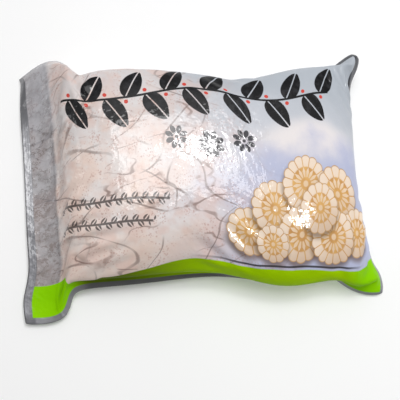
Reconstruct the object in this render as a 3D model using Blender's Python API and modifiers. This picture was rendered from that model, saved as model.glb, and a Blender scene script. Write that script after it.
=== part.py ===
"""Filled film pouch of frozen lotus root slices, lying on its back web.

Metres, +Z up, +X along the pouch, +Y towards the top of its print. The origin is
at the middle of the bounding box, on the surface that the pouch lies on.
Two printed webs are sealed together on four sides; sliced roots lie loose inside.
"""
import math
import random

import bmesh
import bpy
import numpy as np
from mathutils import Vector
from mathutils.bvhtree import BVHTree

MM = 0.001

# The flat pouch, before it is filled
POUCH_LENGTH = 0.284
SIDE_SEAL = 0.008          # top, bottom and right seals
EDGE_STRIP = 0.006         # bare strip outside the printed part of the left seal
LEFT_SEAL = 0.024          # wide seal at the left end
FILM = 0.0005              # thickness of a web
SEAL_GAP = 0.0003          # between the two webs

# The filled shape
RISE = 0.0355              # crown of the front web above its seam
SINK = 0.020               # how far the back web would hang below the table
MIDLINE = 0.006            # where the crown runs, in Y
FRONT_TURN = 115           # degrees that the front web turns from its crown to the top seam
FRONT_TURN_LOW = [(0, 104), (.45, 104), (.62, 114), (1, 115)]    # and to the bottom seam
BACK_TURN = 92             # degrees that the back web turns from its belly to either seam
END_REACH = 0.060          # length over which the ends settle into the shape

# The seam in millimetres (x, y, z), corner to corner: it pulls in at the waist
# and runs out into an ear at each corner.
SEAM_BOTTOM = [
    (-132, -90, 4), (-119, -91, 5), (-111, -88, 7), (-109, -79, 9), (-105, -70.5, 11),
    (-91, -68, 12), (-66, -68, 12), (-38, -67, 12), (-10, -65.5, 12), (14, -68.5, 12),
    (36, -75, 12), (55, -80, 12), (80, -75, 12), (94, -74.5, 11), (103, -81, 9),
    (114, -88.5, 7), (132, -90, 6)]
SEAM_TOP = [
    (-130, 84, 8), (-118, 92, 13), (-108, 95.5, 16), (-98.5, 92.5, 16), (-95.5, 80, 14),
    (-90, 72, 13), (-71, 80, 13), (-44, 77.5, 13), (-17, 75.5, 13), (8, 71.5, 13),
    (27, 66, 13), (46, 69.5, 13), (68, 72.5, 13), (87, 79.5, 15), (101, 75, 19),
    (113, 83.5, 25), (129, 92, 30)]
SEAM_LEFT = [
    (-132, -90, 4), (-133, -80, 4), (-128.5, -68, 5), (-127, -58, 5), (-128, -42, 5),
    (-128, -10, 4), (-128, 20, 4), (-128.5, 48, 5), (-130, 70, 6), (-130, 84, 8)]
SEAM_RIGHT = [
    (132, -90, 6), (131.5, -80, 8), (124.5, -70, 11), (124.5, -58, 13), (122.5, -42, 14),
    (120, -22, 14), (119.5, 0, 14), (122, 22, 14), (123, 42, 15), (122.5, 58, 17),
    (121.5, 72, 21), (128.5, 85, 26), (129, 92, 30)]

# Droop of the seal below level, in degrees, at shares of the way along each side
DROOP_BOTTOM = [(0, 5), (.07, 15), (.10, 45), (.15, 22), (.45, 22), (.60, 60), (.84, 70),
                (.90, 60), (.95, 35), (1, 35)]
DROOP_TOP = [(0, 50), (.10, 55), (.16, 65), (.50, 70), (.85, 70), (.92, 65), (1, 60)]
DROOP_LEFT = [(0, 0), (.10, 5), (.80, 5), (.92, 40), (1, 60)]
DROOP_RIGHT = [(0, 45), (.10, 60), (.20, 70), (.75, 70), (.87, 65), (1, 60)]

# Cage lines, as shares of the way across the seam's rectangle
LINES_ALONG = (0, .035, .07, .10, .14, .19, .26, .35, .44, .53, .62, .71, .79,
               .86, .91, .96, 1)
LINES_ACROSS = (0, .05, .11, .19, .30, .43, .57, .70, .81, .89, .95, 1)

# Lotus root slices
SLICE_RADIUS = 0.0285
SLICE_THICKNESS = 0.0086
SLICE_LAYER = 0.0091       # from one layer of slices to the next
SLICE_LAYERS = 5
SLICE_PITCH = 0.0586       # between neighbours in a layer
SLICE_CLEARANCE = 0.0005   # to the webs
HOLES = 7
HOLE_RING = 0.0165
HOLE_RADIUS = 0.0052
OUTLINE_POINTS = 16
HOLE_POINTS = 5


def clear_scene():
    for obj in list(bpy.data.objects):
        bpy.data.objects.remove(obj, do_unlink=True)


def material(name, colour, roughness, metallic=0.0):
    mat = bpy.data.materials.new(name)
    mat.use_nodes = True
    shader = mat.node_tree.nodes["Principled BSDF"]
    shader.inputs["Base Color"].default_value = (*colour, 1)
    shader.inputs["Roughness"].default_value = roughness
    shader.inputs["Metallic"].default_value = metallic
    mat.diffuse_color = (*colour, 1)
    return mat


# ---------------------------------------------------------------- the webs

def along(points, shares):
    """Points at shares of the length of a smooth curve through the given points."""
    knots = np.array(points, float) * MM
    knots = np.vstack([2 * knots[0] - knots[1], knots, 2 * knots[-1] - knots[-2]])
    t = np.linspace(0, 1, 24, endpoint=False)[:, None]
    runs = []
    for a, b, c, d in zip(knots, knots[1:], knots[2:], knots[3:]):
        runs.append(b + 0.5 * ((c - a) * t + (2 * a - 5 * b + 4 * c - d) * t ** 2
                               + (3 * b - a - 3 * c + d) * t ** 3))
    curve = np.vstack(runs + [knots[-2:-1]])
    steps = np.linalg.norm(np.diff(curve, axis=0), axis=1)
    length = np.concatenate([[0], np.cumsum(steps)])
    wanted = np.asarray(shares) * length[-1]
    return np.stack([np.interp(wanted, length, axis) for axis in curve.T], -1)


def ease(x, start, end):
    t = np.clip((x - start) / (end - start), 0, 1)
    return t * t * (3 - 2 * t)


def arc(share, turn, aspect):
    """Reach and height, both 0 to 1, at shares of an arc from its crown to its foot."""
    angle = np.linspace(0, turn, 120)
    steps = np.hypot(np.diff(np.sin(angle)), np.diff(np.cos(angle)) * aspect)
    length = np.concatenate([[0], np.cumsum(steps)])
    at = np.interp(share, length / length[-1], angle)
    reach = np.sin(at) / math.sin(turn)
    height = (np.cos(at) - math.cos(turn)) / (1 - math.cos(turn))
    return reach, height


def fill(p):
    """How full the pouch is at a share p of its length: 0 at the ends, 1 mid-way."""
    flat = (LEFT_SEAL - EDGE_STRIP) / (POUCH_LENGTH - EDGE_STRIP - SIDE_SEAL)
    t = np.clip((p - flat) / (1 - flat), 0, 1)
    return (1 - np.abs(2 * t - 1) ** 3.2) ** 0.8


def section(full, bottom, top, x_mid, turns, q, front):
    """One cross-section of a web, from its bottom seam to its top seam."""
    b = 2 * q - 1
    side = np.abs(b)
    seam = np.where((b < 0)[:, None], bottom, top)
    low, high = (arc(side, math.radians(90 + (turn - 90) * min(1, 1.5 * full)),
                     0.45 * full + 0.001) for turn in turns)
    reach, height = np.where(b < 0, low, high)
    settle = ease(full, 0, 0.25)
    reach = reach * settle + side * (1 - settle)
    mean = (bottom[2] + top[2]) / 2
    level = mean + (seam[:, 2] - mean) * side ** 2
    if front:
        z = level + height * RISE * full
    else:
        z = np.maximum(level - height * (mean + SINK) * min(1, 1.6 * full), 0)
    y_mid = 0.3 * (bottom[1] + top[1]) + 0.4 * MIDLINE
    y = y_mid + (seam[:, 1] - y_mid) * reach
    x = x_mid + (seam[:, 0] - x_mid) * side ** 2.5
    return np.stack([x, y, z], -1)


def web(p, q, front):
    """Grid of points of one web inside the seam, and the seam itself."""
    bottom, top = along(SEAM_BOTTOM, p), along(SEAM_TOP, p)
    left, right = along(SEAM_LEFT, q), along(SEAM_RIGHT, q)
    length = POUCH_LENGTH - EDGE_STRIP - SIDE_SEAL
    full = fill(p)
    climb = np.gradient(RISE * full, p * length)
    run = np.sqrt(np.clip(1 - climb ** 2, 0.05, 1))
    x_mid = np.concatenate([[0], np.cumsum((run[1:] + run[:-1]) / 2 * np.diff(p))])
    ends = np.interp(0.5, q, left[:, 0]), np.interp(0.5, q, right[:, 0])
    x_mid = ends[0] + x_mid / x_mid[-1] * (ends[1] - ends[0])
    turns = np.full((len(p), 2), BACK_TURN)
    if front:
        turns = np.stack([np.interp(p, *zip(*FRONT_TURN_LOW)), np.full(len(p), FRONT_TURN)], -1)
    grid = np.stack([section(*row, q, front)
                     for row in zip(full, bottom, top, x_mid, turns)], 1)
    near_left = 1 - ease(p * length, 0, END_REACH)
    near_right = 1 - ease((1 - p) * length, 0, END_REACH)
    to_left = (left - grid[:, 0])[:, None] * near_left[None, :, None]
    to_right = (right - grid[:, -1])[:, None] * near_right[None, :, None]
    grid = grid + to_left + to_right
    grid[..., 2] = np.maximum(grid[..., 2], 0)
    return grid, (bottom, top, left, right)


def outward(seam, shares, droop, width, side):
    """Steps from the seam to the outer edge of its seal, drooping below level."""
    tangent = np.gradient(seam, axis=0)
    normal = np.stack([tangent[:, 1], -tangent[:, 0]], -1) * side
    normal /= np.linalg.norm(normal, axis=1, keepdims=True)
    angle = np.radians(np.interp(shares, *zip(*droop)))[:, None]
    return np.hstack([normal * np.cos(angle), -np.sin(angle)]) * width


def with_seals(grid, seams, p, q):
    """The grid with the seal's outer edge round it; a corner takes both sides' steps."""
    bottom, top, left, right = seams
    down = outward(bottom, p, DROOP_BOTTOM, SIDE_SEAL, 1)
    up = outward(top, p, DROOP_TOP, SIDE_SEAL, -1)
    back = outward(left, q, DROOP_LEFT, EDGE_STRIP, -1)
    ahead = outward(right, q, DROOP_RIGHT, SIDE_SEAL, 1)
    whole = np.pad(grid, ((1, 1), (1, 1), (0, 0)), "edge")
    whole[0, 1:-1] += down
    whole[-1, 1:-1] += up
    whole[1:-1, 0] += back
    whole[1:-1, -1] += ahead
    for row, step in ((0, down), (-1, up)):
        whole[row, 0] += step[0] + back[row]
        whole[row, -1] += step[-1] + ahead[row]
    whole[..., 2] = np.maximum(whole[..., 2], 0)
    return whole


def film_web(name, front, mat, collection):
    """A web: a cage over the formula's points, smoothed, then given its thickness."""
    p, q = np.array(LINES_ALONG, float), np.array(LINES_ACROSS, float)
    points = with_seals(*web(p, q, front), p, q)
    rows, columns = points.shape[:2]
    bm = bmesh.new()
    bmesh.ops.create_grid(bm, x_segments=columns - 1, y_segments=rows - 1, size=1)
    for vert in bm.verts:
        i = round((vert.co.x + 1) / 2 * (columns - 1))
        j = round((vert.co.y + 1) / 2 * (rows - 1))
        vert.co = points[j, i]
    bm.normal_update()
    lift = SEAL_GAP / 2 if front else -SEAL_GAP / 2
    moved = [vert.co + vert.normal * lift for vert in bm.verts]
    for vert, place in zip(bm.verts, moved):
        vert.co = place
    mesh = bpy.data.meshes.new(name)
    bm.to_mesh(mesh)
    bm.free()
    mesh.materials.append(mat)
    mesh.shade_smooth()
    obj = bpy.data.objects.new(name, mesh)
    collection.objects.link(obj)
    smooth = obj.modifiers.new("Smooth", "SUBSURF")
    smooth.levels = smooth.render_levels = 1
    split = obj.modifiers.new("Split", "TRIANGULATE")
    split.quad_method = "FIXED"
    shell = obj.modifiers.new("Film", "SOLIDIFY")
    shell.thickness = FILM
    shell.offset = 1 if front else -1
    shell.use_even_offset = False
    return obj


# ---------------------------------------------------------------- the slices

def ring(curve, centre, radius, count, wobble=0.0, turn=0.0):
    spline = curve.splines.new("POLY")
    spline.points.add(count - 1)
    for k, point in enumerate(spline.points):
        angle = turn + 2 * math.pi * k / count
        r = radius * (1 + wobble * math.cos(HOLES * angle))
        point.co = (centre[0] + r * math.cos(angle), centre[1] + r * math.sin(angle), 0, 1)
    spline.use_cyclic_u = True


def slice_mesh(mat):
    """A round slice of root: a lobed outline with a ring of air channels."""
    curve = bpy.data.curves.new("lotus_slice", "CURVE")
    curve.dimensions = "2D"
    curve.fill_mode = "BOTH"
    curve.extrude = SLICE_THICKNESS / 2
    ring(curve, (0, 0), SLICE_RADIUS, OUTLINE_POINTS, wobble=0.02)
    for k in range(HOLES):
        angle = 2 * math.pi * k / HOLES
        centre = HOLE_RING * math.cos(angle), HOLE_RING * math.sin(angle)
        ring(curve, centre, HOLE_RADIUS, HOLE_POINTS, turn=angle)
    maker = bpy.data.objects.new("lotus_slice_outline", curve)
    bpy.context.scene.collection.objects.link(maker)
    bpy.context.view_layer.update()
    seen = maker.evaluated_get(bpy.context.evaluated_depsgraph_get())
    mesh = bpy.data.meshes.new_from_object(seen)
    bpy.data.objects.remove(maker, do_unlink=True)
    bm = bmesh.new()
    bm.from_mesh(mesh)
    bmesh.ops.remove_doubles(bm, verts=bm.verts, dist=0.00001)
    bm.to_mesh(mesh)
    bm.free()
    mesh.name = "lotus_slice"
    mesh.materials.clear()
    mesh.materials.append(mat)
    return mesh


def layer_spots(layer, rows, stagger, shift):
    """Centres of the slices of one layer: rows along the pouch, set half a pitch apart."""
    z = 0.0008 + SLICE_THICKNESS / 2 + SLICE_LAYER * layer
    spots = []
    for number, row in enumerate(rows):
        for column in range(-3, 4):
            x = (column + stagger + 0.5 * number) * SLICE_PITCH
            spots.append((x, shift + row * SLICE_PITCH * 0.87, z))
    return spots


def fullest_layer(layer, front, back):
    """The spots of the arrangement that holds the most slices between the webs."""
    best = []
    for rows in ((-0.5, 0.5), (0,)):
        for step in range(8):
            for shift in (-0.001, 0.002, 0.005):
                spots = layer_spots(layer, rows, step / 8, shift)
                held = [spot for spot in spots if clears(spot, front, back)]
                if len(held) > len(best):
                    best = held
    return best


def clears(spot, front, back):
    """Whether a slice at this spot stays between the webs."""
    half = SLICE_THICKNESS / 2 + SLICE_CLEARANCE
    for k in range(16):
        angle = 2 * math.pi * k / 16
        edge = SLICE_RADIUS * 1.02 + SLICE_CLEARANCE
        at = Vector(spot) + Vector((math.cos(angle), math.sin(angle), 0)) * edge
        above = front.ray_cast(at, Vector((0, 0, 1)))
        below = back.ray_cast(at, Vector((0, 0, -1)))
        if above[0] is None or below[0] is None:
            return False
        if above[3] < half or below[3] < half:
            return False
    return True


def skin(obj):
    return BVHTree.FromObject(obj, bpy.context.evaluated_depsgraph_get())


def fill_with_slices(front, back, mat, collection):
    rng = random.Random(7)
    mesh = slice_mesh(mat)
    bpy.context.view_layer.update()
    skins = skin(front), skin(back)
    spots = []
    for layer in range(SLICE_LAYERS):
        spots += fullest_layer(layer, *skins)
    for number, spot in enumerate(spots, 1):
        obj = bpy.data.objects.new(f"lotus_slice_{number:02d}", mesh)
        obj.location = spot
        obj.rotation_euler = (0, 0, rng.uniform(0, 2 * math.pi))
        collection.objects.link(obj)


def centre_on_origin(objects):
    """Stands the pouch on the origin: the middle of its box, at its underside."""
    bpy.context.view_layer.update()
    depsgraph = bpy.context.evaluated_depsgraph_get()
    corners = []
    for obj in objects:
        seen = obj.evaluated_get(depsgraph)
        corners += [obj.matrix_world @ Vector(corner) for corner in seen.bound_box]
    low = [min(corner[k] for corner in corners) for k in range(3)]
    high = [max(corner[k] for corner in corners) for k in range(3)]
    middle = Vector(((low[0] + high[0]) / 2, (low[1] + high[1]) / 2, low[2]))
    for obj in objects:
        obj.location -= middle


def main():
    clear_scene()
    pouch = bpy.data.collections.new("lotus_root_pouch")
    bpy.context.scene.collection.children.link(pouch)
    front = film_web("film_front", True, material("printed_film", (0.72, 0.66, 0.66), 0.28), pouch)
    back = film_web("film_back", False, material("plain_film", (0.55, 0.56, 0.58), 0.30, 0.4), pouch)
    root = material("lotus_root", (0.86, 0.78, 0.62), 0.55)
    fill_with_slices(front, back, root, pouch)
    centre_on_origin(list(pouch.objects))


main()
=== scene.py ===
"""Looks of the filled film pouch: the printed film with its wrinkles, and the root slices."""

import math

import bpy
import numpy as np
from mathutils import Matrix, Vector


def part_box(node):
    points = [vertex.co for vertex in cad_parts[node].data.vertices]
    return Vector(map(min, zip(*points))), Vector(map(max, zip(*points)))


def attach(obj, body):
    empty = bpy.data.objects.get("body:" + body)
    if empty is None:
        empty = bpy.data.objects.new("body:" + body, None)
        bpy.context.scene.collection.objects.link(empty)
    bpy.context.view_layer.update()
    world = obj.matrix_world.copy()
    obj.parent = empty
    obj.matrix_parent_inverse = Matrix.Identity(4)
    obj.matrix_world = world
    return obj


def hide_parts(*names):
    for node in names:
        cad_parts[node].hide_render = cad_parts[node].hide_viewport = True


MM = 0.001

# ------------------------------------------------------------------ the film's shape
# The same named values as the solids are made from, in metres.
POUCH_LENGTH = 0.284       # of the flat film
HEIGHT = 0.205
SIDE_SEAL = 0.008          # top, bottom and right seals
EDGE_STRIP = 0.006         # bare strip outside the printed part of the left seal
LEFT_SEAL = 0.024          # wide seal at the left end
FILM = 0.0005              # thickness of a web
SEAL_GAP = 0.0003          # between the two webs
RISE = 0.0355              # crown of the front web above its seam
SINK = 0.020               # how far the back web would hang below the table
MIDLINE = 0.006            # where the crown runs, in Y
FRONT_TURN = 115           # degrees from the crown to the top seam
FRONT_TURN_LOW = [(0, 104), (.45, 104), (.62, 114), (1, 115)]    # and to the bottom seam
BACK_TURN = 92             # from the belly to either seam
END_REACH = 0.060          # length over which the ends settle into the shape
PLACE = (0.000346, -0.000485, 0.000650)    # from the seam's frame to the part's

# The seam in millimetres (x, y, z), corner to corner.
SEAM_BOTTOM = [
    (-132, -90, 4), (-119, -91, 5), (-111, -88, 7), (-109, -79, 9), (-105, -70.5, 11),
    (-91, -68, 12), (-66, -68, 12), (-38, -67, 12), (-10, -65.5, 12), (14, -68.5, 12),
    (36, -75, 12), (55, -80, 12), (80, -75, 12), (94, -74.5, 11), (103, -81, 9),
    (114, -88.5, 7), (132, -90, 6)]
SEAM_TOP = [
    (-130, 84, 8), (-118, 92, 13), (-108, 95.5, 16), (-98.5, 92.5, 16), (-95.5, 80, 14),
    (-90, 72, 13), (-71, 80, 13), (-44, 77.5, 13), (-17, 75.5, 13), (8, 71.5, 13),
    (27, 66, 13), (46, 69.5, 13), (68, 72.5, 13), (87, 79.5, 15), (101, 75, 19),
    (113, 83.5, 25), (129, 92, 30)]
SEAM_LEFT = [
    (-132, -90, 4), (-133, -80, 4), (-128.5, -68, 5), (-127, -58, 5), (-128, -42, 5),
    (-128, -10, 4), (-128, 20, 4), (-128.5, 48, 5), (-130, 70, 6), (-130, 84, 8)]
SEAM_RIGHT = [
    (132, -90, 6), (131.5, -80, 8), (124.5, -70, 11), (124.5, -58, 13), (122.5, -42, 14),
    (120, -22, 14), (119.5, 0, 14), (122, 22, 14), (123, 42, 15), (122.5, 58, 17),
    (121.5, 72, 21), (128.5, 85, 26), (129, 92, 30)]
# Droop of the seal below level, in degrees, at shares of the way along each side.
DROOP_BOTTOM = [(0, 5), (.07, 15), (.10, 45), (.15, 22), (.45, 22), (.60, 60), (.84, 70),
                (.90, 60), (.95, 35), (1, 35)]
DROOP_TOP = [(0, 50), (.10, 55), (.16, 65), (.50, 70), (.85, 70), (.92, 65), (1, 60)]
DROOP_LEFT = [(0, 0), (.10, 5), (.80, 5), (.92, 40), (1, 60)]
DROOP_RIGHT = [(0, 45), (.10, 60), (.20, 70), (.75, 70), (.87, 65), (1, 60)]
# Where the cage has its lines, as shares of the length and of the height.
LINES_ALONG = (0, .035, .07, .10, .14, .19, .26, .35, .44, .53, .62, .71, .79,
               .86, .91, .96, 1)
LINES_ACROSS = (0, .05, .11, .19, .30, .43, .57, .70, .81, .89, .95, 1)


def along(points, shares):
    """Points at shares of the length of a smooth curve through the given points."""
    knots = np.array(points, float) * MM
    knots = np.vstack([2 * knots[0] - knots[1], knots, 2 * knots[-1] - knots[-2]])
    t = np.linspace(0, 1, 24, endpoint=False)[:, None]
    runs = []
    for a, b, c, d in zip(knots, knots[1:], knots[2:], knots[3:]):
        runs.append(b + 0.5 * ((c - a) * t + (2 * a - 5 * b + 4 * c - d) * t ** 2
                               + (3 * b - a - 3 * c + d) * t ** 3))
    curve = np.vstack(runs + [knots[-2:-1]])
    steps = np.linalg.norm(np.diff(curve, axis=0), axis=1)
    length = np.concatenate([[0], np.cumsum(steps)])
    wanted = np.asarray(shares) * length[-1]
    return np.stack([np.interp(wanted, length, axis) for axis in curve.T], -1)


def ease(x, start, end):
    """0 up to start and 1 from end on, smooth between."""
    t = np.clip((x - start) / (end - start), 0, 1)
    return t * t * (3 - 2 * t)


def arc(share, turn, aspect):
    """Reach and height, both 0 to 1, at shares of an arc from its crown to its foot."""
    angle = np.linspace(0, turn, 120)
    steps = np.hypot(np.diff(np.sin(angle)), np.diff(np.cos(angle)) * aspect)
    length = np.concatenate([[0], np.cumsum(steps)])
    at = np.interp(share, length / length[-1], angle)
    reach = np.sin(at) / math.sin(turn)
    height = (np.cos(at) - math.cos(turn)) / (1 - math.cos(turn))
    return reach, height


def fill(p):
    """How full the pouch is at a share p of its length: 0 at the ends, 1 mid-way."""
    flat = (LEFT_SEAL - EDGE_STRIP) / (POUCH_LENGTH - EDGE_STRIP - SIDE_SEAL)
    t = np.clip((p - flat) / (1 - flat), 0, 1)
    return (1 - np.abs(2 * t - 1) ** 3.2) ** 0.8


def section(full, bottom, top, x_mid, turns, q, front):
    """One cross-section of a web, from its bottom seam to its top seam."""
    b = 2 * q - 1
    side = np.abs(b)
    seam = np.where((b < 0)[:, None], bottom, top)
    low, high = (arc(side, math.radians(90 + (turn - 90) * min(1, 1.5 * full)),
                     0.45 * full + 0.001) for turn in turns)
    reach, height = np.where(b < 0, low, high)
    settle = ease(full, 0, 0.25)
    reach = reach * settle + side * (1 - settle)
    mean = (bottom[2] + top[2]) / 2
    level = mean + (seam[:, 2] - mean) * side ** 2
    if front:
        z = level + height * RISE * full
    else:
        z = np.maximum(level - height * (mean + SINK) * min(1, 1.6 * full), 0)
    y_mid = 0.3 * (bottom[1] + top[1]) + 0.4 * MIDLINE
    y = y_mid + (seam[:, 1] - y_mid) * reach
    x = x_mid + (seam[:, 0] - x_mid) * side ** 2.5
    return np.stack([x, y, z], -1)


def web(p, q, front):
    """Grid of points of one web inside the seam, and the seam itself."""
    bottom, top = along(SEAM_BOTTOM, p), along(SEAM_TOP, p)
    left, right = along(SEAM_LEFT, q), along(SEAM_RIGHT, q)
    length = POUCH_LENGTH - EDGE_STRIP - SIDE_SEAL
    full = fill(p)
    climb = np.gradient(RISE * full, p * length)
    run = np.sqrt(np.clip(1 - climb ** 2, 0.05, 1))
    x_mid = np.concatenate([[0], np.cumsum((run[1:] + run[:-1]) / 2 * np.diff(p))])
    ends = np.interp(0.5, q, left[:, 0]), np.interp(0.5, q, right[:, 0])
    x_mid = ends[0] + x_mid / x_mid[-1] * (ends[1] - ends[0])
    turns = np.full((len(p), 2), BACK_TURN)
    if front:
        turns = np.stack([np.interp(p, *zip(*FRONT_TURN_LOW)), np.full(len(p), FRONT_TURN)], -1)
    grid = np.stack([section(*row, q, front)
                     for row in zip(full, bottom, top, x_mid, turns)], 1)
    near_left = 1 - ease(p * length, 0, END_REACH)
    near_right = 1 - ease((1 - p) * length, 0, END_REACH)
    to_left = (left - grid[:, 0])[:, None] * near_left[None, :, None]
    to_right = (right - grid[:, -1])[:, None] * near_right[None, :, None]
    grid = grid + to_left + to_right
    grid[..., 2] = np.maximum(grid[..., 2], 0)
    return grid, (bottom, top, left, right)


def outward(seam, shares, droop, width, side):
    """Steps from the seam to the outer edge of its seal, drooping below level."""
    tangent = np.gradient(seam, axis=0)
    normal = np.stack([tangent[:, 1], -tangent[:, 0]], -1) * side
    normal /= np.linalg.norm(normal, axis=1, keepdims=True)
    angle = np.radians(np.interp(shares, *zip(*droop)))[:, None]
    return np.hstack([normal * np.cos(angle), -np.sin(angle)]) * width


def with_seals(grid, seams, p, q):
    """The grid with the seal's outer edge round it; a corner takes both sides' steps."""
    bottom, top, left, right = seams
    down = outward(bottom, p, DROOP_BOTTOM, SIDE_SEAL, 1)
    up = outward(top, p, DROOP_TOP, SIDE_SEAL, -1)
    back = outward(left, q, DROOP_LEFT, EDGE_STRIP, -1)
    ahead = outward(right, q, DROOP_RIGHT, SIDE_SEAL, 1)
    whole = np.pad(grid, ((1, 1), (1, 1), (0, 0)), "edge")
    whole[0, 1:-1] += down
    whole[-1, 1:-1] += up
    whole[1:-1, 0] += back
    whole[1:-1, -1] += ahead
    for row, step in ((0, down), (-1, up)):
        whole[row, 0] += step[0] + back[row]
        whole[row, -1] += step[-1] + ahead[row]
    whole[..., 2] = np.maximum(whole[..., 2], 0)
    return whole


def cage(front):
    """Cage points with their places on the flat film: (x, y, z, u, v)."""
    p, q = np.array(LINES_ALONG, float), np.array(LINES_ACROSS, float)
    points = with_seals(*web(p, q, front), p, q)
    u = EDGE_STRIP + p * (POUCH_LENGTH - EDGE_STRIP - SIDE_SEAL)
    v = (q - 0.5) * (HEIGHT - 2 * SIDE_SEAL)
    u = np.concatenate([[0], u, [POUCH_LENGTH]])
    v = np.concatenate([[-HEIGHT / 2], v, [HEIGHT / 2]])
    for row, column in ((0, 0), (0, -1), (-1, 0), (-1, -1)):     # the corners are cut round
        beside = points[row, 1 if column == 0 else -2] + points[1 if row == 0 else -2, column]
        points[row, column] = 0.5 * points[row, column] + 0.25 * beside
    flat = np.stack(np.meshgrid(u, v), -1)
    return np.concatenate([points, flat], -1)


def basis(count, at):
    """Weights of a cubic B-spline on count + 2 points, its ends pinned, at parameters."""
    weights = np.zeros((len(at), count + 2))
    span = np.clip(np.floor(at).astype(int), 0, count - 2)
    t = at - span
    parts = ((1 - t) ** 3, 3 * t ** 3 - 6 * t ** 2 + 4,
             -3 * t ** 3 + 3 * t ** 2 + 3 * t + 1, t ** 3)
    for k, part in enumerate(parts):
        weights[np.arange(len(at)), span + k] += part / 6
    return weights


def padded_ends(points):
    """The points with one more line beyond each end, so that the ends are reached."""
    first, last = 2 * points[:1] - points[1:2], 2 * points[-1:] - points[-2:-1]
    return np.concatenate([first, points, last])


def even(values, steps):
    """Spline parameters at which a line of rising values is evenly divided."""
    fine = np.linspace(0, len(values) - 1, 4000)
    reached = basis(len(values), fine) @ padded_ends(values[:, None])[:, 0]
    return np.interp(np.linspace(values[0], values[-1], steps + 1), reached, fine)


def surface(points, at_x, at_y):
    """Points of the smooth surface over a grid, at spline parameters along and across."""
    over_x, over_y = basis(points.shape[1], at_x), basis(points.shape[0], at_y)
    spread = padded_ends(padded_ends(points).transpose(1, 0, 2))
    return np.einsum("ia,jb,abc->jic", over_x, over_y, spread, optimize=True)


def smooth_web(front, columns, rows):
    """The web's smooth surface on an even grid of the flat film, (x, y, z, u, v)."""
    points = cage(front)
    grid = surface(points, even(points[0, :, 3], columns), even(points[:, 0, 4], rows))
    grid[..., :3] += PLACE
    return grid


def respaced(grid, columns, rows):
    """The same surface on another even grid."""
    height, width = grid.shape[:2]
    at_x = np.linspace(0, width - 1, columns + 1)
    at_y = np.linspace(0, height - 1, rows + 1)
    return surface(grid, at_x, at_y)


def normals(points):
    """Unit normals of a grid of points, upward on either web."""
    du = np.gradient(points, axis=1)
    dv = np.gradient(points, axis=0)
    n = np.cross(du, dv)
    return n / np.linalg.norm(n, axis=-1, keepdims=True)


# ------------------------------------------------------------------ the film's relief
SOLVER_GRID = (284, 204)     # columns and rows, about a millimetre apart
FILM_GRID = (258, 186)       # of the mesh, which stays under 200,000 triangles
STAGES = ((2, 260, 0.002), (1, 120, 0.001))     # grid spacing, steps and grip
FIRST_BUMPS = 0.0002         # size of the random bumps that creases start from
STRETCH, SQUEEZE = 0.7, 0.5  # how firmly an edge that is too long or too short is mended
STIFFNESS, SEAL_STIFFNESS = 0.30, 0.45
MOST_SLACK = 0.10            # most length that an edge can have over its guide's
REACH = 0.0048               # furthest that film can be from its guide shape
DIP = 0.0010                 # and furthest down from it, along its normal
LAST_SMOOTHINGS = 12
SLICE_GAP = 0.0002           # kept between the back web's creases and the slices
SLICE_EDGE = 0.0015          # how far past a slice's edge that goes on
FLOOR_GAP = 0.0001           # least height of film above the floor
FRONT_GAP = 0.0004           # and of the front web, with the back one under it


def ends(points):
    """Both ends of the grid's edges along, across and on the two diagonals."""
    return ((points[:, :-1], points[:, 1:]), (points[:-1], points[1:]),
            (points[:-1, :-1], points[1:, 1:]), (points[:-1, 1:], points[1:, :-1]))


def lengths(points):
    """Lengths of the same edges."""
    return [np.linalg.norm(b - a, axis=-1) for a, b in ends(points)]


def tie(a, b, rest):
    """Moves the two ends of each edge towards its rest length, in place."""
    gap = b - a
    length = np.sqrt(np.einsum("...k,...k->...", gap, gap))
    over = length - rest
    share = np.where(over > 0, STRETCH, SQUEEZE) * 0.5 * over / length
    gap *= share[..., None]
    a += gap
    b -= gap


def tie_all(points, rests):
    """Ties every edge, taking every other column or row so that no point moves twice at once."""
    for parity in (0, 1):
        every_other = slice(parity, None, 2)
        for number, (a, b) in enumerate(ends(points)):
            pick = (slice(None), every_other) if number == 0 else (every_other,)
            tie(a[pick], b[pick], rests[number][pick])


def flatten_bends(points, amount):
    """Takes the sharpest bends out, which sets how close creases can lie."""
    def curl(field):
        padded = np.pad(field, ((1, 1), (1, 1), (0, 0)), "edge")
        around = padded[:-2, 1:-1] + padded[2:, 1:-1] + padded[1:-1, :-2] + padded[1:-1, 2:]
        return around / 4 - field
    points -= amount * curl(curl(points))


def from_seals(flat):
    """Distance in from the end seals and from the side seals; below 0 in a seal."""
    u, v = flat[..., 0], flat[..., 1]
    from_end = np.minimum(u - LEFT_SEAL, POUCH_LENGTH - SIDE_SEAL - u)
    return from_end, HEIGHT / 2 - SIDE_SEAL - np.abs(v)


def inside_seal(flat):
    """Distance in from the nearest seal; below 0 in a seal."""
    return np.minimum(*from_seals(flat))


def loose(flat):
    """How much longer the film is than its shape needs.

    It is longest by the corners, and least so at the upper right one, where the photo
    shows few creases. In the seals there is nothing to spare.
    """
    u, v = flat[..., 0], flat[..., 1]
    from_end, from_side = from_seals(flat)
    nearest = inside_seal(flat)
    seam = 1 - ease(nearest, 0, 0.040)
    corner = 1 - ease(np.hypot(from_end, from_side), 0.010, 0.090)
    corner = corner * (1 - 0.7 * ease(u, 0.14, 0.22) * ease(v, 0, 0.06))
    return 1 + (0.004 + 0.009 * seam + 0.055 * corner) * ease(nearest, -0.003, 0.004)


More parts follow.
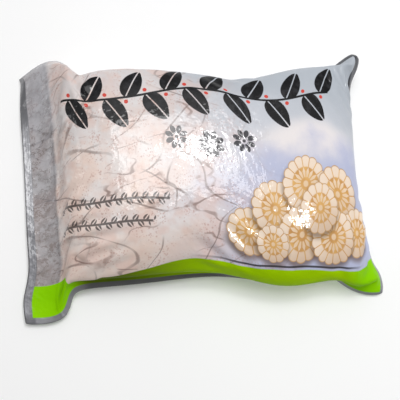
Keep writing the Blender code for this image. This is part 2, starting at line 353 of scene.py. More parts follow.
def wrinkle(guide, flat, start, steps, grip, seal_grip):
    """The film settles near its guide shape at the lengths that it has when flat."""
    n = normals(guide)
    extra = [0.5 * (a + b) for a, b in ends(loose(flat))]
    true = lengths(np.pad(flat, ((0, 0), (0, 0), (0, 1))))
    rests = [np.clip(full * more, now, now * (1 + MOST_SLACK))
             for full, more, now in zip(true, extra, lengths(guide))]
    points = start.copy()
    sealed = 1 - ease(inside_seal(flat), -0.004, 0.003)[..., None]
    stiff = STIFFNESS + (SEAL_STIFFNESS - STIFFNESS) * sealed
    hold = grip + (seal_grip - grip) * sealed
    for _ in range(steps):
        tie_all(points, rests)
        flatten_bends(points, stiff)
        points += (guide - points) * hold
        off = points - guide
        far = np.linalg.norm(off, axis=-1, keepdims=True)
        points = guide + off * np.minimum(1, REACH / np.maximum(far, 1e-9))
        too_low = np.minimum(np.einsum("...k,...k->...", points - guide, n) + DIP, 0)
        points -= n * too_low[..., None]
        points[..., 2] = np.maximum(points[..., 2], FLOOR_GAP)
    return points


def doubled(field):
    """The field on a grid twice as fine."""
    rows = np.repeat(field, 2, axis=0)[:-1]
    rows[1::2] = (field[1:] + field[:-1]) / 2
    fine = np.repeat(rows, 2, axis=1)[:, :-1]
    fine[:, 1::2] = (rows[:, 1:] + rows[:, :-1]) / 2
    return fine


def slice_boxes():
    """Lower and upper corners of every slice's box."""
    return [[np.array(corner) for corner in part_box(name)]
            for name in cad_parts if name.startswith("lotus_slice")]


def from_axis(points, low, high):
    """Distance of each point from the upright axis of a box."""
    return np.linalg.norm(points[..., :2] - (low + high)[:2] / 2, axis=-1)


def slice_swell(points):
    """The topmost slices show through the film as faint round swellings."""
    swell = np.zeros(points.shape[:2])
    for low, high in slice_boxes():
        near = 1 - ease(points[..., 2] - high[2], 0.002, 0.010)
        over = 1 - ease(from_axis(points, low, high), 0.021, 0.032)
        swell = np.maximum(swell, near * over)
    return swell


def slice_undersides(points):
    """How high film can reach at each point before it meets a slice from below."""
    limit = np.full(points.shape[:2], np.inf)
    for low, high in slice_boxes():
        past = from_axis(points, low, high) - (high - low)[0] / 2 - SLICE_EDGE
        limit = np.minimum(limit, low[2] - SLICE_GAP + np.maximum(past, 0))
    return limit


def guide_web(front, columns, rows):
    """The smooth outer face of a web, with the swellings of what it holds."""
    grid = smooth_web(front, columns, rows)
    points, flat = grid[..., :3], grid[..., 3:]
    n = normals(points)
    lift = SEAL_GAP / 2 + FILM * ease(inside_seal(flat), 0, 0.012)
    if not front:
        return points - n * lift[..., None], flat
    lift = lift + 0.0009 * slice_swell(points) * ease(inside_seal(flat), 0.004, 0.02)
    return points + n * lift[..., None], flat


def settle(front, columns, rows, seal_shift=None):
    """A web's guide shape and its wrinkled shape, at one fineness after another."""
    seal_grip = 0.03 if front else 1.0
    shift = None
    for spacing, steps, grip in STAGES:
        guide, flat = guide_web(front, columns // spacing, rows // spacing)
        if seal_shift is not None:
            guide += seal_shift[::spacing, ::spacing]
        if shift is None:
            rng = np.random.default_rng(3 if front else 8)
            shift = normals(guide) * rng.normal(0, FIRST_BUMPS, guide.shape[:2] + (1,))
        else:
            shift = doubled(shift)
        points = wrinkle(guide, flat, guide + shift, steps, grip, seal_grip)
        shift = points - guide
    for _ in range(LAST_SMOOTHINGS):
        flatten_bends(points, SEAL_STIFFNESS)
    return guide, points, flat


def film_webs(columns, rows):
    """Both webs' points and their flat places.

    The back web's seals follow the front's, and its creases stay below the slices.
    """
    guide, front, flat = settle(True, *SOLVER_GRID)
    sealed = 1 - ease(inside_seal(flat), 0, 0.012)
    guide, back, _ = settle(False, *SOLVER_GRID, (front - guide) * sealed[..., None])
    held = np.maximum(slice_undersides(back), guide[..., 2])
    back[..., 2] = np.minimum(back[..., 2], held)
    front, back, flat = (respaced(grid, columns, rows) for grid in (front, back, flat))
    for points, lowest in ((front, FRONT_GAP), (back, FLOOR_GAP)):
        points[..., 2] = np.maximum(points[..., 2], lowest)
    return front, back, flat


def film_object():
    """Both webs in one skin, joined along the outer edge of the seals."""
    front, back, flat = film_webs(*FILM_GRID)
    height, width = front.shape[:2]
    count = height * width
    index = np.arange(count).reshape(height, width)
    quad = np.stack([index[:-1, :-1], index[:-1, 1:], index[1:, 1:], index[1:, :-1]], -1)
    quad = quad.reshape(-1, 4)
    rim = np.concatenate([index[0], index[1:, -1], index[-1, -2::-1], index[-2:0:-1, 0]])
    after = np.roll(rim, -1)
    edge = np.stack([rim, rim + count, after + count, after], -1)
    faces = np.concatenate([quad, quad[:, ::-1] + count, edge])
    mesh = bpy.data.meshes.new("pouch_film")
    mesh.from_pydata(np.concatenate([front, back]).reshape(-1, 3).tolist(), [], faces.tolist())
    flat = np.concatenate([flat, flat]).reshape(-1, 2)
    corners = np.empty(len(mesh.loops), int)
    mesh.loops.foreach_get("vertex_index", corners)
    layer = mesh.uv_layers.new(name="flat_film")
    layer.data.foreach_set("uv", flat[corners].ravel())
    slots = np.zeros(len(mesh.polygons), int)
    slots[len(quad):] = 1
    mesh.polygons.foreach_set("material_index", slots)
    mesh.shade_smooth()
    mesh.update()
    obj = bpy.data.objects.new("pouch_film", mesh)
    bpy.context.scene.collection.objects.link(obj)
    return obj


# ------------------------------------------------------------------ node helpers
def rgb(red, green, blue):
    """Linear colour from the usual 0 to 255 values."""
    def linear(value):
        value /= 255
        return value / 12.92 if value <= 0.04045 else ((value + 0.055) / 1.055) ** 2.4
    return (linear(red), linear(green), linear(blue), 1)


class Net:
    """Short ways to add nodes to one material."""

    def __init__(self, name):
        self.material = bpy.data.materials.new(name)
        self.material.use_nodes = True
        self.tree = self.material.node_tree
        self.shader = self.tree.nodes["Principled BSDF"]

    def plug(self, value, socket):
        """Links a socket to another, or sets a constant on it."""
        if isinstance(value, bpy.types.NodeSocket):
            self.tree.links.new(value, socket)
        else:
            socket.default_value = value

    def math(self, operation, *values):
        node = self.tree.nodes.new("ShaderNodeMath")
        node.operation = operation
        for value, socket in zip(values, node.inputs):
            self.plug(value, socket)
        return node.outputs[0]

    def add(self, a, b):
        return self.math("ADD", a, b)

    def sub(self, a, b):
        return self.math("SUBTRACT", a, b)

    def mul(self, a, b):
        return self.math("MULTIPLY", a, b)

    def low(self, a, b):
        return self.math("MINIMUM", a, b)

    def high(self, a, b):
        return self.math("MAXIMUM", a, b)

    def step(self, value, start, end):
        """0 below start and 1 above end, smooth between; start may be above end."""
        node = self.tree.nodes.new("ShaderNodeMapRange")
        node.interpolation_type = "SMOOTHSTEP"
        flip = start > end
        self.plug(value, node.inputs["Value"])
        node.inputs["From Min"].default_value = end if flip else start
        node.inputs["From Max"].default_value = start if flip else end
        node.inputs["To Min"].default_value = 1 if flip else 0
        node.inputs["To Max"].default_value = 0 if flip else 1
        return node.outputs["Result"]

    def mix(self, share, a, b):
        """Colour a at a share of 0 and b at 1."""
        node = self.tree.nodes.new("ShaderNodeMix")
        node.data_type = "RGBA"
        self.plug(share, node.inputs["Factor"])
        self.plug(a, node.inputs[6])
        self.plug(b, node.inputs[7])
        return node.outputs[2]

    def vector(self, x, y):
        node = self.tree.nodes.new("ShaderNodeCombineXYZ")
        for value, socket in zip((x, y), node.inputs):
            self.plug(value, socket)
        return node.outputs[0]

    def noise(self, place, scale, detail, rough=0.5, kind="FBM"):
        node = self.tree.nodes.new("ShaderNodeTexNoise")
        node.noise_type = kind
        self.plug(place, node.inputs["Vector"])
        node.inputs["Scale"].default_value = scale
        node.inputs["Detail"].default_value = detail
        node.inputs["Roughness"].default_value = rough
        return node.outputs[0]

    def cells(self, place, scale):
        node = self.tree.nodes.new("ShaderNodeTexVoronoi")
        self.plug(place, node.inputs["Vector"])
        node.inputs["Scale"].default_value = scale
        return node.outputs["Distance"]

    def bump(self, height, distance, strength, normal=None):
        """A normal from heights, laid over another normal if one is given."""
        node = self.tree.nodes.new("ShaderNodeBump")
        node.inputs["Strength"].default_value = strength
        node.inputs["Distance"].default_value = distance
        self.plug(height, node.inputs["Height"])
        if normal is not None:
            self.plug(normal, node.inputs["Normal"])
        return node.outputs[0]

    def polar(self, u, v, x, y):
        """Distance and direction from a point on the flat film."""
        du, dv = self.sub(u, x), self.sub(v, y)
        away = self.math("SQRT", self.add(self.mul(du, du), self.mul(dv, dv)))
        return away, self.math("ARCTAN2", dv, du)


def flat_places(net):
    """Places on the flat film in millimetres, u from the left edge and v from the middle."""
    node = net.tree.nodes.new("ShaderNodeUVMap")
    node.uv_map = "flat_film"
    apart = net.tree.nodes.new("ShaderNodeSeparateXYZ")
    net.plug(node.outputs[0], apart.inputs[0])
    return net.mul(apart.outputs[0], 1 / MM), net.mul(apart.outputs[1], 1 / MM)


# ------------------------------------------------------------------ the print
# All places and sizes of the print are in millimetres on the flat film.
SHEET_LENGTH, SHEET_HALF = 284.0, 102.5   # POUCH_LENGTH, and half of HEIGHT
PRINT_LEFT, PRINT_RIGHT = 6.0, 279.5      # edges of the printed field
PRINT_BOTTOM, PRINT_TOP = -97.5, 100.0
TOP_SKEW, BOTTOM_SKEW = 0.012, 0.009      # by which these edges lower towards the right
GREEN_FOOT = -81.4                        # the green band's top edge, but for its bends
GARLAND = {"pitch": 29.4, "start": 36.0, "end": 241.8}          # of its leaves and berries
SPRIGS = ((-24.0, 112.0), (-40.0, 100.0))                       # level and right end
ROSETTES = ((120.0, 17.0, 8.5), (144.0, 13.0, 10.0), (168.0, 17.0, 8.5))      # u, v, radius
CRESTS = (
    # u, v, radius and petals of each overlapping crest, the lower ones first
    (166, -43, 15.5, 12), (186, -26, 17.5, 14), (211, -12, 18.0, 16), (238, -20, 19.0, 14),
    (254, -45, 16.5, 12), (205, -42, 18.0, 14), (231, -47, 18.5, 16), (183, -48, 12.0, 12),
    (221, -28, 16.0, 14))


def field_colour(net, u, v, place):
    """Soft ground: warm cream at the left with painted shade at its top and bottom, pale in the
    middle, cool at the right.
    """
    wobble = net.mul(net.sub(net.noise(place, 0.013, 3.0, 0.55), 0.5), 90.0)
    ur, vr = net.add(u, wobble), net.add(v, wobble)
    peach = net.step(net.noise(place, 0.030, 4.0, 0.62), 0.42, 0.62)
    warm = net.mix(peach, rgb(238, 230, 227), rgb(237, 215, 204))
    # Painted shade: the warm ground is darker towards the top.
    upper = net.mix(peach, rgb(222, 216, 215), rgb(222, 201, 192))
    warm = net.mix(net.step(net.add(v, net.mul(wobble, 0.4)), 2.0, 34.0), warm, upper)
    dusk = net.step(net.noise(net.vector(net.add(u, 400.0), v), 0.022, 3.0, 0.6), 0.52, 0.72)
    warm = net.mix(net.mul(dusk, 0.45), warm, rgb(212, 206, 210))
    # Painted shade: the warm ground is darker towards the bottom edge.
    foot = net.step(net.add(v, net.mul(wobble, 0.3)), -28.0, -66.0)
    warm = net.mix(net.mul(foot, 0.6), warm, rgb(212, 194, 183))
    corner = net.mul(net.step(u, 84.0, 42.0), net.step(v, 44.0, 74.0))
    warm = net.mix(net.mul(corner, 0.75), warm, rgb(206, 199, 198))
    cool = net.mix(net.step(vr, -20.0, 70.0), rgb(222, 222, 229), rgb(178, 184, 192))
    cloud, _ = net.polar(net.add(net.mul(u, 0.4), net.mul(wobble, 0.2)), v, 86.0, 15.0)
    cool = net.mix(net.mul(net.step(cloud, 21.0, 8.0), 0.8), cool, rgb(240, 232, 230))
    ground = net.mix(net.step(net.add(ur, net.mul(v, 0.55)), 105.0, 190.0), warm, cool)
    drift = net.add(vr, net.mul(net.noise(place, 0.035, 4.0, 0.6), 44.0))
    drift = net.step(net.add(drift, net.mul(u, -0.10)), 24.0, -8.0)
    lavender = net.mul(net.step(ur, 105.0, 195.0), drift)
    return net.mix(net.mul(lavender, 0.85), ground, rgb(178, 184, 214))


def wandering(net, u, v, tilt, scale, width, shift):
    """Thin lines that wander along one direction, and the distance to them."""
    ahead = net.add(net.mul(u, math.cos(tilt)), net.mul(v, math.sin(tilt)))
    aside = net.sub(net.mul(v, math.cos(tilt)), net.mul(u, math.sin(tilt)))
    height = net.noise(net.vector(net.add(net.mul(ahead, 0.4), shift), aside), scale, 1.5, 0.4)
    edge = net.mul(net.math("ABSOLUTE", net.sub(height, 0.5)), 1 / (0.7 * scale))
    return net.step(edge, width, width * 0.3), edge


def specks(net, place, size, share):
    """Loose round specks; the share is how much of each cell one may take."""
    return net.step(net.cells(place, 1 / size), share, share * 0.4)


def ground_pattern(net, u, v, place, colour):
    """Wandering lines with drifts of dusty pink specks beside them, fading to the right."""
    fade = net.step(net.add(u, net.mul(v, 0.3)), 205.0, 130.0)
    boughs, along_boughs = wandering(net, u, v, -0.30, 0.024, 0.60, 0.0)
    forks, along_forks = wandering(net, u, v, 0.85, 0.028, 0.50, 300.0)
    twigs, _ = wandering(net, u, v, 0.25, 0.060, 0.4, 600.0)
    lines, edge = net.high(boughs, forks), net.low(along_boughs, along_forks)
    drift = net.step(net.noise(place, 0.040, 3.0, 0.6), 0.47, 0.60)
    near = net.step(edge, 9.0, 1.0)
    blush = net.mul(net.mul(near, drift), fade)
    colour = net.mix(net.mul(blush, 0.45), colour, rgb(222, 188, 176))
    dots = net.high(specks(net, place, 1.7, 0.42), specks(net, place, 3.1, 0.30))
    tint = net.mix(net.noise(place, 0.6, 1.0), rgb(160, 118, 106), rgb(208, 160, 148))
    patch = net.step(net.noise(place, 0.055, 4.0, 0.65), 0.46, 0.58)
    patch = net.mul(patch, net.step(edge, 15.0, 4.0))
    colour = net.mix(net.mul(net.mul(net.mul(dots, patch), fade), 0.55), colour, tint)
    colour = net.mix(net.mul(net.mul(twigs, blush), 0.75), colour, rgb(132, 108, 100))
    weight = net.step(net.noise(place, 0.028, 2.0, 0.5), 0.40, 0.58)
    return net.mix(net.mul(net.mul(lines, weight), net.mul(fade, 0.66)), colour, rgb(124, 106, 100))


def leaf_row(net, u, v, base, sway, wave, pitch, length, breadth, start, end, lean):
    """A row of pointed leaves either side of a thin stem; also the height above the stem.

    The stem sways about its base height. The lean is the leaves' angle, in radians.
    """
    stem = net.add(base, net.mul(net.math("SINE", net.mul(u, 2 * math.pi / wave)), sway))
    across = net.sub(v, stem)
    up = net.math("ABSOLUTE", across)
    half = net.mul(net.math("SIGN", across), pitch / 4)
    cell = net.math("WRAP", net.add(net.sub(u, start), half), pitch / 2, -pitch / 2)
    turn_c, turn_s = math.cos(lean), math.sin(lean)
    reach = net.add(net.mul(cell, turn_c), net.mul(up, turn_s))
    aside = net.math("ABSOLUTE", net.sub(net.mul(up, turn_c), net.mul(cell, turn_s)))
    share = net.mul(reach, 1 / length)
    width = net.mul(net.math("SQRT", net.high(net.mul(share, net.sub(1.0, share)), 0.0)),
                    2 * breadth)
    width = net.mul(width, net.sub(1.15, net.mul(share, 0.45)))
    leaf = net.mul(net.step(net.sub(width, aside), 0.0, 0.5), net.step(aside, 0.25, 0.6))
    twig = net.step(up, 1.1, 0.6)
    side = net.sub(u, half)
    whole = net.mul(net.math("GREATER_THAN", side, start), net.math("LESS_THAN", side, end))
    inside = net.mul(net.step(u, start - 0.5, start + 0.5), net.step(u, end + 0.5, end - 0.5))
    return net.high(net.mul(leaf, whole), net.mul(twig, inside)), across


def berries(net, u, across, pitch, start, end):
    """Small round berries in pairs above and below the stem."""
    half = net.mul(net.math("SIGN", across), pitch / 4)
    cell = net.math("WRAP", net.sub(net.sub(u, start), half), pitch / 2, -pitch / 2)
    up = net.sub(net.math("ABSOLUTE", across), 3.4)
    away = net.math("SQRT", net.add(net.mul(cell, cell), net.mul(up, up)))
    inside = net.mul(net.step(u, start, start + 0.5), net.step(u, end + 0.5, end))
    return net.mul(net.step(away, 1.7, 1.3), inside)


def crest_cluster(net, u, v, place, colour):
    """Overlapping round flower crests: cream petals with amber between them."""
    stain = net.step(net.noise(place, 0.11, 4.0, 0.6), 0.36, 0.66)
    amber = net.mix(stain, rgb(224, 176, 106), rgb(202, 150, 90))
    for x, y, radius, petals in CRESTS:
        away, turn = net.polar(u, v, float(x), float(y))
        share = net.mul(away, 1 / radius)
        shadow = net.step(net.polar(u, v, x - 0.6, y - 2.4)[0], radius + 3.0, radius - 2.0)
        colour = net.mix(net.mul(shadow, 0.70), colour, rgb(104, 76, 50))
        lobe = net.math("ABSOLUTE", net.math("SINE", net.add(net.mul(turn, petals / 2), x * 0.37)))
        outer = net.mul(net.step(net.mul(lobe, share), 0.08, 0.19), net.step(share, 0.56, 0.62))
        ring = net.add(0.62, net.mul(lobe, -0.16))
        inner = net.step(net.sub(share, ring), -0.02, -0.06)
        inner = net.mul(inner, net.step(net.mul(net.sub(1.0, lobe), share), 0.02, 0.06))
        petal = net.mul(net.high(outer, inner), net.step(share, 0.20, 0.26))
        petal = net.high(petal, net.step(share, 0.13, 0.09))
        cream = net.mix(net.step(share, 0.2, 0.8), rgb(232, 202, 166), rgb(240, 220, 200))
        face = net.mix(petal, amber, cream)
        lit = net.add(net.mul(net.sub(v, float(y)), 1 / radius),
                      net.mul(net.sub(u, float(x)), -0.4 / radius))
        face = net.mix(net.mul(net.step(lit, 0.2, -1.1), 0.45), face, rgb(176, 134, 92))
        brim = net.sub(net.add(0.90, net.mul(net.math("SQRT", lobe), 0.12)), share)
        face = net.mix(net.step(brim, 0.06, 0.02), face, rgb(196, 154, 104))
        colour = net.mix(net.step(brim, -0.01, 0.02), colour, face)
    return colour


def rosette(net, u, v, x, y, radius, petals):
    """A small round flower of separate petals."""
    away, turn = net.polar(u, v, x, y)
    share = net.mul(away, 1 / radius)
    lobe = net.math("ABSOLUTE", net.math("SINE", net.mul(turn, petals / 2)))
    reach = net.add(0.62, net.mul(lobe, 0.38))
    petal = net.mul(net.step(net.sub(reach, share), 0.0, 0.06),
                    net.step(net.mul(lobe, share), 0.07, 0.13))
    return net.high(net.mul(petal, net.step(share, 0.26, 0.32)), net.step(share, 0.17, 0.12))


def green_band(net, u):
    """Height of the green band's swaying top edge, which drops low past the left ear."""
    height = net.add(net.mul(net.step(u, 62.0, 134.0), 13.0), net.mul(net.step(u, 58.0, 42.0), 8.0))
    height = net.add(height, net.mul(net.step(u, 158.0, 190.0), 4.0))
    height = net.add(height, net.mul(net.step(u, 200.0, 234.0), -6.0))
    dip = net.mul(net.mul(net.step(u, 31.0, 45.0), net.step(u, 66.0, 50.0)), -14.0)
    return net.add(net.add(height, dip), GREEN_FOOT)


def lime(net, u, place):
    """The band's green: bright at both ears, olive along the middle, and painted shade past the
    left ear.
    """
    bright = net.mix(net.step(net.noise(place, 0.02, 2.0), 0.35, 0.7),
                     rgb(134, 204, 2), rgb(144, 214, 6))
    olive = net.mul(net.step(u, 42.0, 60.0), net.step(u, 262.0, 236.0))
    bright = net.mix(olive, bright, rgb(156, 200, 2))
    # Painted shade: the band darkens to a dark olive past the left ear.
    painted_shade = net.mul(net.step(u, 42.0, 60.0), net.step(u, 150.0, 72.0))
    return net.mix(net.mul(painted_shade, 0.85), bright, rgb(70, 82, 14))


def printed_front():
    """The front web: soft ground, leaf garland, rosettes, sprigs, crests and green band."""
    net = Net("printed_film")
    u, v = flat_places(net)
    place = net.vector(u, v)
    colour = field_colour(net, u, v, place)
    colour = ground_pattern(net, u, v, place, colour)
    colour = crest_cluster(net, u, v, place, colour)
    ink = net.mix(net.step(net.noise(place, 0.16, 3.0, 0.6), 0.45, 0.70),
                  rgb(12, 12, 15), rgb(38, 38, 42))
    leaves, across = leaf_row(net, u, v, base=51.0, sway=4.0, wave=116.0, length=25.0,
                              breadth=8.1, lean=1.00, **GARLAND)
    colour = net.mix(leaves, colour, ink)
    colour = net.mix(berries(net, u, across, **GARLAND), colour, rgb(206, 70, 58))
    for x, y, radius in ROSETTES:
        petals = rosette(net, u, v, x, y, radius, petals=8)
        colour = net.mix(net.mul(petals, 0.92), colour, rgb(38, 38, 44))
    for base, end in SPRIGS:
        leaves, _ = leaf_row(net, u, v, base, sway=1.0, wave=70.0, pitch=7.4, length=5.6,
                             breadth=2.3, start=29.0, end=end, lean=0.95)
        colour = net.mix(net.mul(leaves, 0.85), colour, rgb(58, 52, 52))
    gap = net.sub(v, green_band(net, u))
    hairline = net.step(net.math("ABSOLUTE", net.sub(gap, 2.4)), 1.0, 0.5)
    hairline = net.mul(hairline, net.mul(net.step(u, 120.0, 165.0), net.step(u, 262.0, 240.0)))
    colour = net.mix(net.mul(hairline, 0.9), colour, rgb(48, 44, 44))
    band = net.step(gap, 0.35, -0.35)
    colour = net.mix(band, colour, lime(net, u, place))
    colour = left_band(net, u, v, place, gap, colour)
    return finish_film(net, u, v, place, colour, band)


def left_band(net, u, v, place, gap, colour):
    """The end seal prints greyer, because nothing lies behind the film there."""
    sway = net.mul(net.sub(net.noise(place, 0.03, 3.0, 0.6), 0.5), 9.0)
    band = net.mul(net.step(net.add(u, sway), 26.5, 23.0), net.step(gap, -0.35, 0.35))
    grey = net.mix(net.step(net.noise(place, 0.07, 5.0, 0.7), 0.40, 0.62),
                   rgb(162, 162, 168), rgb(124, 123, 128))
    veins = net.noise(place, 0.065, 5.0, 0.68)
    veins = net.step(net.math("ABSOLUTE", net.sub(veins, 0.5)), 0.022, 0.006)
    blots = net.step(net.noise(net.vector(net.add(u, 300.0), v), 0.10, 4.0, 0.65), 0.53, 0.60)
    dark = net.high(veins, net.mul(blots, net.step(v, 30.0, -60.0)))
    grey = net.mix(net.mul(dark, 0.75), grey, rgb(78, 74, 74))
    grey = net.mix(net.mul(net.step(v, -20.0, -80.0), 0.35), grey, rgb(112, 110, 110))
    grey = net.mix(net.mul(net.step(v, 30.0, 80.0), 0.35), grey, rgb(178, 180, 188))
    return net.mix(net.mul(band, 0.78), colour, grey)


def bare_film(net, u, v, place):
    """The bare margin's silver grey, darker at the places that turn from the light."""
    silver = net.mix(net.noise(place, 0.09, 3.0, 0.6), rgb(142, 142, 146), rgb(166, 166, 170))
    right_ear = net.mul(net.step(v, 40.0, 70.0), net.step(u, 215.0, 240.0))
    silver = net.mix(right_ear, silver, rgb(76, 78, 84))
    left_ends = net.step(net.math("ABSOLUTE", net.sub(v, 16.0)), 24.0, 52.0)
    left_ends = net.mul(net.step(u, 9.0, 7.0), left_ends)
    silver = net.mix(left_ends, silver, rgb(122, 122, 126))
    waist = net.mul(net.step(u, 48.0, 60.0), net.step(u, 215.0, 190.0))
    waist = net.mul(waist, net.step(v, -60.0, -85.0))
    return net.mix(net.mul(waist, 0.85), silver, rgb(100, 100, 100))


def gloss_film(net, u, v, band, bare, flank):
    """A clear coat, fullest on the crown, at the left end's middle and on its upper ear.

    The ink of the green band dulls it.
    """
    gloss = net.sub(1.0, net.mul(net.mul(band, net.sub(1.0, bare)), 0.75))
    net.plug(net.mul(gloss, 0.08), net.shader.inputs["Specular IOR Level"])
    left_ear = net.mul(net.step(u, 56.0, 36.0), net.step(v, 48.0, 66.0))
    crown = net.step(flank, 34.0, 66.0)
    coat = net.add(0.22, net.mul(net.high(crown, left_ear), 0.78))
    net.plug(net.mul(coat, gloss), net.shader.inputs["Coat Weight"])
    net.shader.inputs["Coat IOR"].default_value = 1.6
    net.shader.inputs["Coat Roughness"].default_value = 0.08


def crease_film(net, u, place, margin, bare, flank):
    """Fine relief: soft waves, creases, the seal's ribs and its inner edge, and crumples.

    The coat has a ripple of its own, which breaks the highlights into small pieces.
    """
    waves = net.bump(net.noise(place, 0.07, 3.0, 0.5), 0.0012, 0.6)
    crease = net.noise(place, 0.20, 2.5, 0.5, "RIDGED_MULTIFRACTAL")
    grain = net.noise(place, 0.8, 1.5, 0.5)
    ribs = net.mul(net.mul(net.math("SINE", net.mul(margin, 2 * math.pi / 1.6)), bare), 0.06)
    seal = net.mul(net.step(net.math("ABSOLUTE", net.sub(u, 24.0)), 1.6, 0.2), 0.8)
    crumple = net.noise(place, 0.13, 3.5, 0.5, "RIDGED_MULTIFRACTAL")
    by_edge = net.mul(net.step(net.low(u, flank), 34.0, 14.0), net.sub(1.0, bare))
    crumple = net.mul(crumple, by_edge)
    crumple = net.mul(crumple, net.add(0.2, net.mul(net.step(u, 130.0, 60.0), 0.8)))
    height = net.add(net.add(crease, ribs), net.add(seal, net.add(crumple, net.mul(grain, 0.2))))
    net.plug(net.bump(height, 0.00030, 0.7, waves), net.shader.inputs["Normal"])
    ripple = net.add(net.noise(place, 0.24, 2.0, 0.42), net.mul(crumple, 0.4))
    net.plug(net.bump(ripple, 0.00036, 1.0, waves), net.shader.inputs["Coat Normal"])


def finish_film(net, u, v, place, colour, band):
    """Bare margin, gloss and fine creases, which both webs share."""
    bottom = net.sub(PRINT_BOTTOM, net.mul(u, BOTTOM_SKEW))
    top = net.sub(PRINT_TOP, net.mul(u, TOP_SKEW))
    right = net.sub(PRINT_RIGHT, net.mul(net.step(v, 50.0, 64.0), 5.5))
    margin = net.low(net.low(net.sub(u, PRINT_LEFT), net.sub(right, u)),
                     net.low(net.sub(v, bottom), net.sub(top, v)))
    bare = net.step(margin, 0.4, -0.4)
    colour = net.mix(bare, colour, bare_film(net, u, v, place))
    net.plug(colour, net.shader.inputs["Base Color"])
    net.plug(net.mul(bare, 0.6), net.shader.inputs["Metallic"])
    rough = net.add(0.34, net.mul(net.noise(place, 0.12, 3.0, 0.6), 0.18))
    net.plug(rough, net.shader.inputs["Roughness"])
    flank = net.low(net.sub(SHEET_LENGTH, u), net.sub(SHEET_HALF, net.math("ABSOLUTE", v)))
    gloss_film(net, u, v, band, bare, flank)
    crease_film(net, u, place, margin, bare, flank)
    return net.material


def printed_back():
    """The hidden web: the same ground and band, and a plain pale panel."""
    net = Net("printed_film_back")
    u, v = flat_places(net)
    place = net.vector(u, v)
    colour = field_colour(net, u, v, place)
    colour = ground_pattern(net, u, v, place, colour)
    panel = net.low(net.sub(78.0, net.math("ABSOLUTE", net.sub(u, 150.0))),
                    net.sub(44.0, net.math("ABSOLUTE", net.sub(v, 8.0))))
    colour = net.mix(net.step(panel, -0.4, 0.4), colour, rgb(224, 223, 222))
    frame_line = net.step(net.math("ABSOLUTE", panel), 1.1, 0.6)
    colour = net.mix(frame_line, colour, rgb(110, 110, 116))
    gap = net.sub(v, green_band(net, u))
    band = net.step(gap, 0.35, -0.35)
    colour = net.mix(band, colour, lime(net, u, place))
    colour = left_band(net, u, v, place, gap, colour)
    return finish_film(net, u, v, place, colour, band)


def root_flesh():
    """Cream root with patches of frost."""
    net = Net("frozen_root")
    place = net.tree.nodes.new("ShaderNodeTexCoord").outputs["Object"]
    tone = net.noise(place, 55.0, 4.0, 0.6)
    colour = net.mix(net.step(tone, 0.35, 0.7), rgb(240, 226, 200), rgb(226, 202, 162))
    frost = net.step(net.noise(place, 420.0, 3.0, 0.6), 0.52, 0.68)
    colour = net.mix(net.mul(frost, 0.5), colour, rgb(246, 246, 248))
    net.plug(colour, net.shader.inputs["Base Color"])
    net.plug(net.add(0.35, net.mul(frost, 0.35)), net.shader.inputs["Roughness"])
    net.shader.inputs["Subsurface Weight"].default_value = 0.25
    net.shader.inputs["Subsurface Scale"].default_value = 0.004
    height = net.add(net.mul(tone, 0.6), net.mul(frost, 0.4))
    net.plug(net.bump(height, 0.0004, 0.5), net.shader.inputs["Normal"])
    return net.material


# ------------------------------------------------------------------ floor, light, camera
AIM = (0, 0, 0.02)           # the pouch's middle, which every lamp faces


def floor():
    """A wide pale floor."""
    bpy.ops.mesh.primitive_plane_add(size=6)
    plane = bpy.context.object
    plane.name = "floor"
    net = Net("floor_pale")
    tone = net.noise(net.tree.nodes.new("ShaderNodeTexCoord").outputs["Object"], 8.0, 2.0)
    net.plug(net.mix(tone, rgb(250, 250, 250), rgb(253, 253, 253)), net.shader.inputs["Base Color"])
    net.shader.inputs["Roughness"].default_value = 0.8
    plane.data.materials.append(net.material)


def area_light(name, place, size, power, shadow=True):
    """A lamp of some metres by some metres and some watts, facing the pouch."""
    light = bpy.data.lights.new(name, "AREA")
    light.shape = "RECTANGLE"
    light.size, light.size_y = size
    light.energy = power
    light.use_shadow = shadow
    obj = bpy.data.objects.new(name, light)
    obj.location = place
    obj.rotation_euler = (Vector(place) - Vector(AIM)).to_track_quat("Z", "Y").to_euler()
    bpy.context.scene.collection.objects.link(obj)


def studio_world():
    """Dim room light, brighter from behind the object than from in front of it."""
    world = bpy.data.worlds.new("studio")
    world.use_nodes = True
    tree = world.node_tree
    apart = tree.nodes.new("ShaderNodeSeparateXYZ")
    tree.links.new(tree.nodes.new("ShaderNodeTexCoord").outputs["Generated"], apart.inputs[0])
    rise = tree.nodes.new("ShaderNodeMapRange")
    rise.inputs["From Min"].default_value = -0.5
    rise.inputs["From Max"].default_value = 0.9
    rise.inputs["To Min"].default_value = 0.12
    rise.inputs["To Max"].default_value = 0.38
    tree.links.new(apart.outputs[1], rise.inputs["Value"])
    tree.links.new(rise.outputs[0], tree.nodes["Background"].inputs["Strength"])
    tree.nodes["Background"].inputs["Color"].default_value = (1, 1, 1, 1)
    bpy.context.scene.world = world


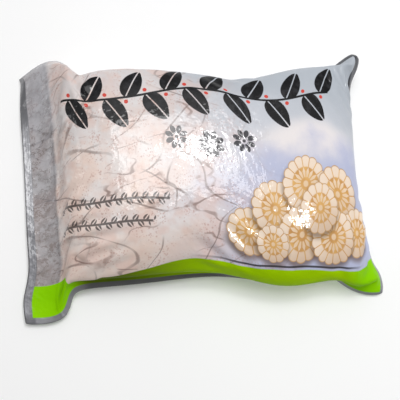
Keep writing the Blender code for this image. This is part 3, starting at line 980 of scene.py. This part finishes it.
def lights():
    """Two small keys for the highlights on the film, and soft lamps for the rest.

    The second key casts no shadow: an ear's would lie on the floor, and the photo has none.
    """
    area_light("key", (0.165, 0.385, 1.04), (0.14, 0.14), 1.3)
    area_light("second_key", (0.62, -0.15, 0.98), (0.11, 0.11), 3.6, shadow=False)
    area_light("top_soft", (-0.05, 0.42, 1.5), (1.0, 1.0), 12.2)
    area_light("back_fill", (-0.1, 1.3, 1.2), (1.4, 0.8), 1.2)
    area_light("left_glint", (-1.04, 0.34, 0.55), (0.20, 0.20), 0.22)


def camera(azimuth=-45.0, elevation=75.0, distance=0.55, lens=66.5, roll=-5.02,
           target=(-0.0060, -0.0174, 0.0207)):
    """The photo's view: angles in degrees, lengths in metres and the lens in millimetres."""
    az, el, turn = (math.radians(angle) for angle in (azimuth, elevation, roll))
    back = Vector((math.sin(az) * math.cos(el), -math.cos(az) * math.cos(el), math.sin(el)))
    right = (-back).cross(Vector((0, 1, 0))).normalized()
    up = right.cross(-back)
    across = right * math.cos(turn) + up * math.sin(turn)
    above = up * math.cos(turn) - right * math.sin(turn)
    data = bpy.data.cameras.new("camera")
    data.lens = lens
    data.sensor_width = 36
    data.clip_start = 0.01
    obj = bpy.data.objects.new("camera", data)
    place = Matrix((across, above, back)).transposed().to_4x4()
    place.translation = Vector(target) + back * distance
    obj.matrix_world = place
    bpy.context.scene.collection.objects.link(obj)
    bpy.context.scene.camera = obj


# ------------------------------------------------------------------ the scene
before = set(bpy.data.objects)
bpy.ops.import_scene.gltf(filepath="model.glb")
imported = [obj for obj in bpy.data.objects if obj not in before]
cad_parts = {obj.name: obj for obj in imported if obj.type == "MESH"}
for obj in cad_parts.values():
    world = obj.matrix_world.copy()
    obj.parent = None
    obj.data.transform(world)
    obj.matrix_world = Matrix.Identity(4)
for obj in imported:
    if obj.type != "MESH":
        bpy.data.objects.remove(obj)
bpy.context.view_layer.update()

film = film_object()
film.data.materials.append(printed_front())
film.data.materials.append(printed_back())
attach(film, "root")
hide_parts("film_front", "film_back")

flesh = root_flesh()
for name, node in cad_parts.items():
    if name.startswith("lotus_slice"):
        node.data.materials.clear()
        node.data.materials.append(flesh)

bpy.context.scene.view_settings.view_transform = "Standard"
floor()
studio_world()
lights()
camera()
